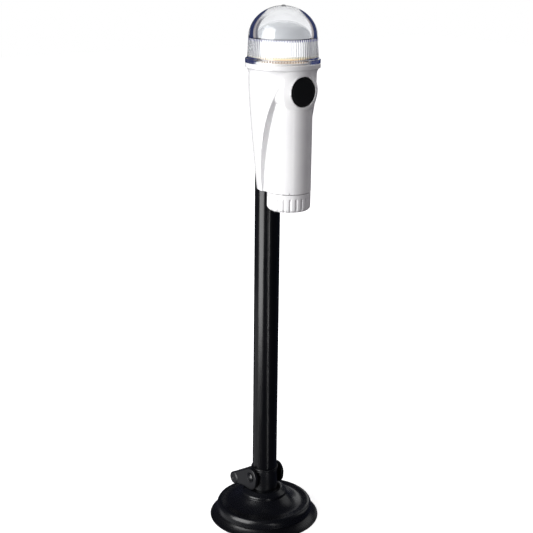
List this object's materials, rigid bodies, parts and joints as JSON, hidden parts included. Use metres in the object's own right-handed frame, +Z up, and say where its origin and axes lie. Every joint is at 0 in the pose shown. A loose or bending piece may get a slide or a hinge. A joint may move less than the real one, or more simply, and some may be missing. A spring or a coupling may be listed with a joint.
{
  "type": "navigation light",
  "caption": "All-round white boat navigation light on a black pole, with a battery head, a push switch and a lever-locked suction base.",
  "frame": {"origin": "centre of the suction cup's resting face, on the pole's axis", "axes": "+Z up along the pole; -Y is the side with the switch and the battery tube; +Y is the side with the lever's grip; X is along the lever's pivot pin"},
  "size_m": [0.1, 0.1, 0.4626],
  "materials": {
    "cup_rubber": "satin black PVC rubber with a thin flexible lip",
    "black_plastic": "moulded black plastic, semi-gloss",
    "inner_plastic": "matt moulded plastic, out of sight",
    "steel": "stainless steel",
    "pin_steel": "blackened steel",
    "pole_anodised": "satin black anodised aluminium tube",
    "white_plastic": "glossy white ABS",
    "seal_rubber": "black silicone rubber",
    "clear_lens": "clear polycarbonate with fine upright flutes inside its band",
    "led_board": "white solder mask",
    "milky_lens": "milky polycarbonate, lit from inside",
    "grey_shade": "grey translucent plastic",
    "led": "white LED package with a warm phosphor",
    "button_rubber": "fine-grained black rubber",
    "green_board": "green solder mask",
    "cell_wrap": "plain printed foil, no text",
    "brass": "plated spring brass",
    "wire_red": "PVC wire",
    "wire_white": "PVC wire",
    "wire_black": "PVC wire"
  },
  "bodies": {
    "suction_base": {"suction_cup": "cup_rubber", "base_housing": "black_plastic"},
    "stem_and_pole": {"pull_stem": "black_plastic", "cup_anchor": "inner_plastic", "anchor_screw": "steel", "pole_tube": "pole_anodised", "pivot_pin": "pin_steel", "pin_clip": "steel"},
    "lever": {"lever_yoke": "black_plastic"},
    "lamp_head": {"lamp_body": "white_plastic", "lens_seal": "seal_rubber", "lens_dome": "clear_lens", "led_board": "led_board", "diffuser_ring": "milky_lens", "top_shade": "grey_shade", "board_screw_1": "steel", "board_screw_2": "steel", "led_1": "led", "led_2": "led", "led_3": "led", "led_4": "led", "led_5": "led", "led_6": "led", "led_7": "led", "led_8": "led", "tact_switch": "inner_plastic", "switch_board": "green_board", "cell_carrier": "inner_plastic", "cell_1": "cell_wrap", "cell_2": "cell_wrap", "cell_3": "cell_wrap", "centre_contact": "brass", "ring_contact": "brass", "wire_supply": "wire_red", "wire_switched": "wire_white", "wire_return": "wire_black"},
    "push_switch": {"switch_button": "button_rubber", "switch_plunger": "inner_plastic"},
    "cap_slider": {"cap_seal": "seal_rubber"},
    "cap": {"battery_cap": "white_plastic", "cap_spring": "steel"}
  },
  "joints": [
    {"name": "stem_lift", "type": "slide", "parent": "suction_base", "child": "stem_and_pole", "axis": [0, 0, 1], "range_m": [-0.00349, 0]},
    {"name": "lever_pivot", "type": "hinge", "parent": "stem_and_pole", "child": "lever", "pos_m": [0, 0, 0.0405], "axis": [1, 0, 0], "range_deg": [0, 75]},
    {"name": "head_swivel", "type": "hinge", "parent": "stem_and_pole", "child": "lamp_head", "pos_m": [0, 0, 0.38], "axis": [0, 0, 1], "continuous": true},
    {"name": "switch_press", "type": "slide", "parent": "lamp_head", "child": "push_switch", "axis": [0, 1, 0], "range_m": [0, 0.0015], "stiffness_N_per_m": 1500},
    {"name": "cap_travel", "type": "slide", "parent": "lamp_head", "child": "cap_slider", "axis": [0, 0, -1], "range_m": [0, 0.006]},
    {"name": "cap_turn", "type": "hinge", "parent": "cap_slider", "child": "cap", "pos_m": [0, -0.03, 0.304], "axis": [0, 0, -1], "range_deg": [0, 720]}
  ],
  "couplings": [
    {"joint": "lever_pivot", "follows": "stem_lift", "rad_per_m": -374.53},
    {"joint": "cap_turn", "follows": "cap_travel", "rad_per_m": 2094.4}
  ]
}
